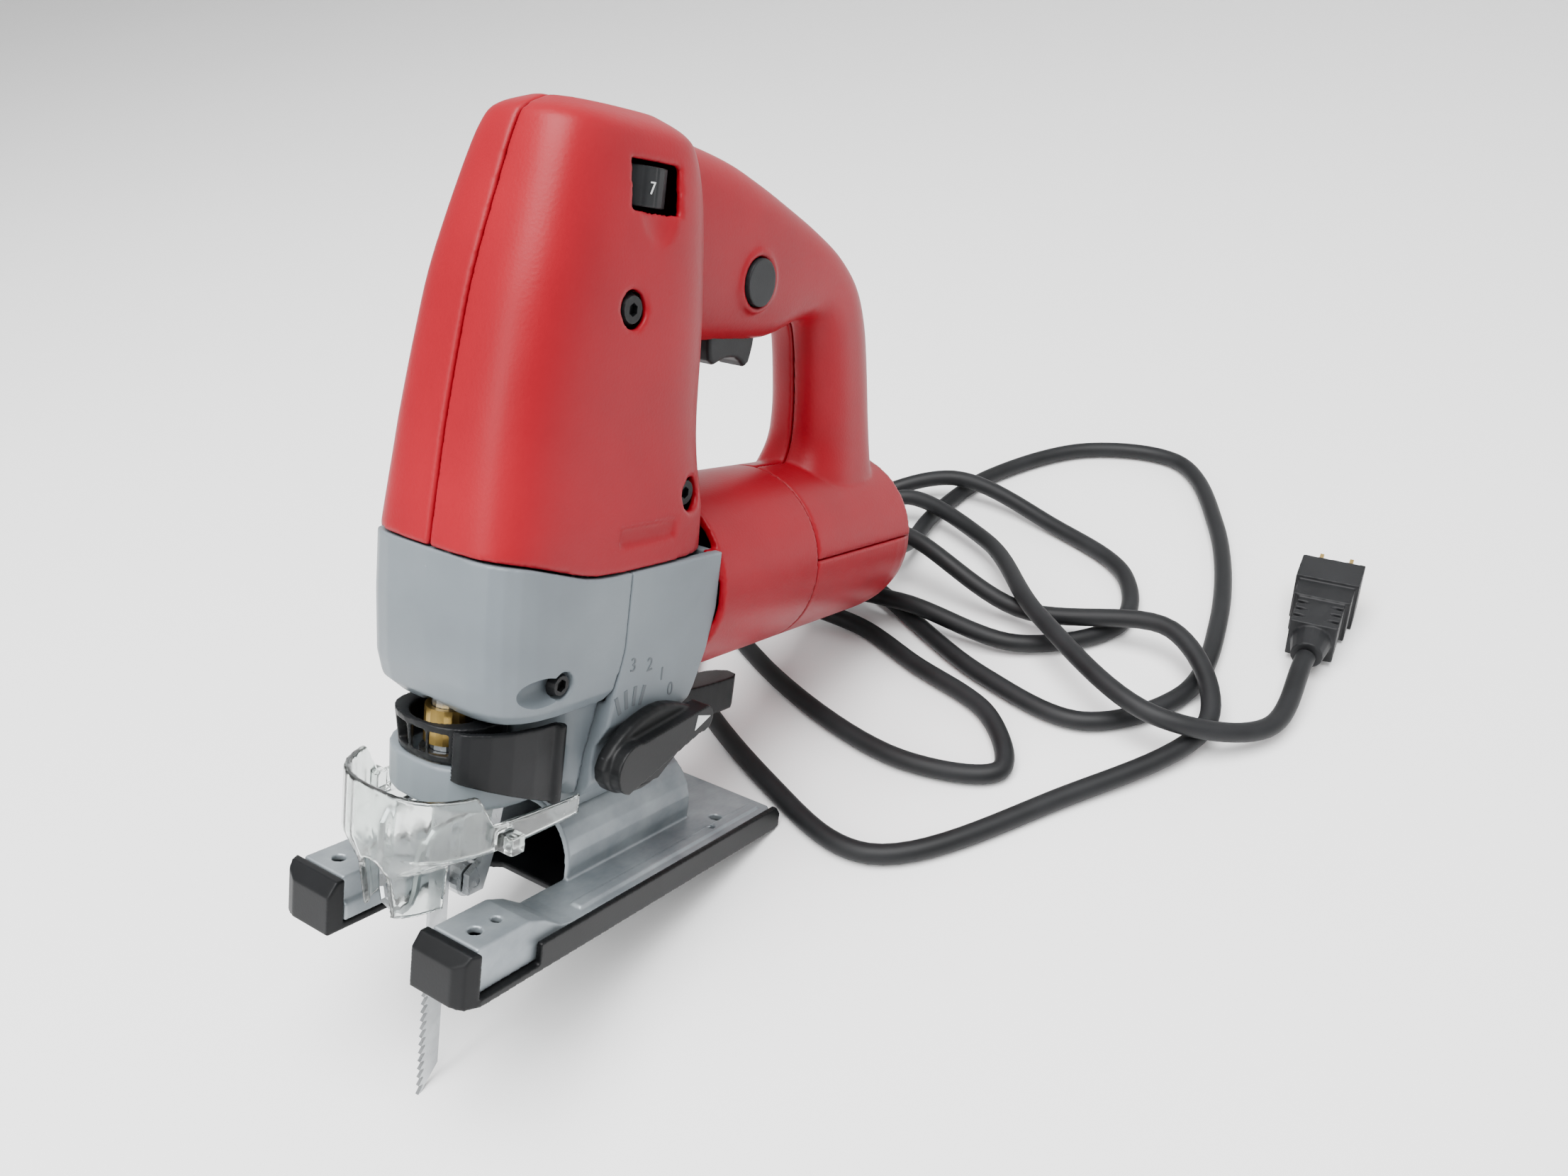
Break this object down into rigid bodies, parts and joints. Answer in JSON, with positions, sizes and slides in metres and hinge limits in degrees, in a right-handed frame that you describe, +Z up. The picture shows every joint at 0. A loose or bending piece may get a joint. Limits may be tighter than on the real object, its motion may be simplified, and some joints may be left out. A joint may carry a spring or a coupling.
{
  "type": "jigsaw",
  "caption": "Corded D-handle jigsaw with a tilting slotted shoe, orbit lever, clear chip guard, and a long cord with a moulded plug lying in loops behind it.",
  "frame": {"origin": "centre of the bounding box in plan, at table level, of the tool without its cord and plug", "axes": "+X towards the blade end, +Y towards the left side of the tool, +Z up from the table; the tool stands on its blade tip and the heel of its shoe"},
  "size_m": [0.4823, 0.2583, 0.2728],
  "materials": {
    "red_plastic": "moulded, fine texture",
    "grey_casting": "painted grey",
    "black_plastic": "moulded",
    "dark_plastic": "moulded",
    "zinc_plate": "zinc plated",
    "steel": "ground",
    "brass": "plain",
    "clear_plastic": "clear moulded",
    "rubber": "matt jacket"
  },
  "bodies": {
    "housing": {"gear_case": "grey_casting", "gear_case_front": "grey_casting", "handle_left": "red_plastic", "handle_right": "red_plastic", "motor_housing": "red_plastic", "rear_cover": "red_plastic", "field_core": "steel", "bearing_front": "steel", "bearing_rear": "steel", "gear_axle": "steel", "bushing_lower": "brass", "bushing_upper": "brass", "clamp_cage": "black_plastic", "chip_guard": "clear_plastic", "wire_guard": "steel", "roller_pin": "steel", "roller_arm": "steel", "switch_body": "dark_plastic", "speed_module": "dark_plastic", "strain_relief": "rubber", "power_cord": "rubber", "plug_body": "rubber", "handle_screw_upper": "steel", "case_screw": "steel", "handle_screw_lower": "steel", "brush_holder_left": "brass", "brush_holder_right": "brass", "plug_blade_left": "brass", "plug_blade_right": "brass"},
    "armature_body": {"armature": "steel", "cooling_fan": "black_plastic"},
    "crank_body": {"crank_gear": "steel"},
    "plunger_body": {"plunger": "steel", "blade_chuck": "steel", "blade": "steel"},
    "trigger_body": {"trigger": "dark_plastic"},
    "lock_body": {"lock_button": "dark_plastic"},
    "dial_body": {"speed_dial": "dark_plastic"},
    "orbit_body": {"orbit_lever": "black_plastic", "orbit_lever_face": "grey_casting"},
    "clamp_body": {"clamp_lever": "black_plastic"},
    "shoe_body": {"shoe_sole": "black_plastic", "shoe_plate": "zinc_plate"},
    "bevel_body": {"bevel_lever": "steel"},
    "roller_body": {"guide_roller": "steel"}
  },
  "joints": [
    {"name": "crank_spin", "type": "hinge", "parent": "housing", "child": "crank_body", "pos_m": [0.01992, 0, 0.14217], "axis": [0.9197, 0, 0.3926], "continuous": true},
    {"name": "armature_spin", "type": "hinge", "parent": "housing", "child": "armature_body", "pos_m": [-0.03874, 0, 0.09364], "axis": [0.9197, 0, 0.3926], "continuous": true},
    {"name": "plunger_stroke", "type": "slide", "parent": "housing", "child": "plunger_body", "axis": [-0.3926, 0, 0.9197], "range_m": [-0.026, 0]},
    {"name": "trigger_press", "type": "slide", "parent": "housing", "child": "trigger_body", "axis": [-0.3926, 0, 0.9197], "range_m": [0, 0.005], "stiffness_N_per_m": 600, "springref_m": -0.001},
    {"name": "lock_press", "type": "slide", "parent": "housing", "child": "lock_body", "axis": [0, -1, 0], "range_m": [0, 0.003], "stiffness_N_per_m": 500, "springref_m": -0.0008},
    {"name": "dial_turn", "type": "hinge", "parent": "housing", "child": "dial_body", "pos_m": [-0.01075, 0.0102, 0.24509], "axis": [-0.3926, 0, 0.9197], "range_deg": [0, 270]},
    {"name": "orbit_select", "type": "hinge", "parent": "housing", "child": "orbit_body", "pos_m": [0.05397, 0.03, 0.08787], "axis": [0, 1, 0], "range_deg": [0, 80]},
    {"name": "clamp_swing", "type": "hinge", "parent": "housing", "child": "clamp_body", "pos_m": [0.07877, 0.0262, 0.09955], "axis": [-0.3926, 0, 0.9197], "range_deg": [0, 50], "stiffness_Nm_per_rad": 0.05, "springref_deg": -11.46},
    {"name": "shoe_bevel", "type": "hinge", "parent": "housing", "child": "shoe_body", "pos_m": [0.05928, 0, 0.0423], "axis": [0.9197, 0, 0.3926], "range_deg": [-30, 30]},
    {"name": "bevel_lock", "type": "hinge", "parent": "housing", "child": "bevel_body", "pos_m": [0.01375, 0, 0.05983], "axis": [-0.3926, 0, 0.9197], "range_deg": [-30, 35]},
    {"name": "roller_spin", "type": "hinge", "parent": "housing", "child": "roller_body", "pos_m": [0.10489, 0, 0.06231], "axis": [0, 1, 0], "continuous": true}
  ],
  "couplings": [
    {"joint": "armature_spin", "follows": "crank_spin", "ratio": -5}
  ]
}
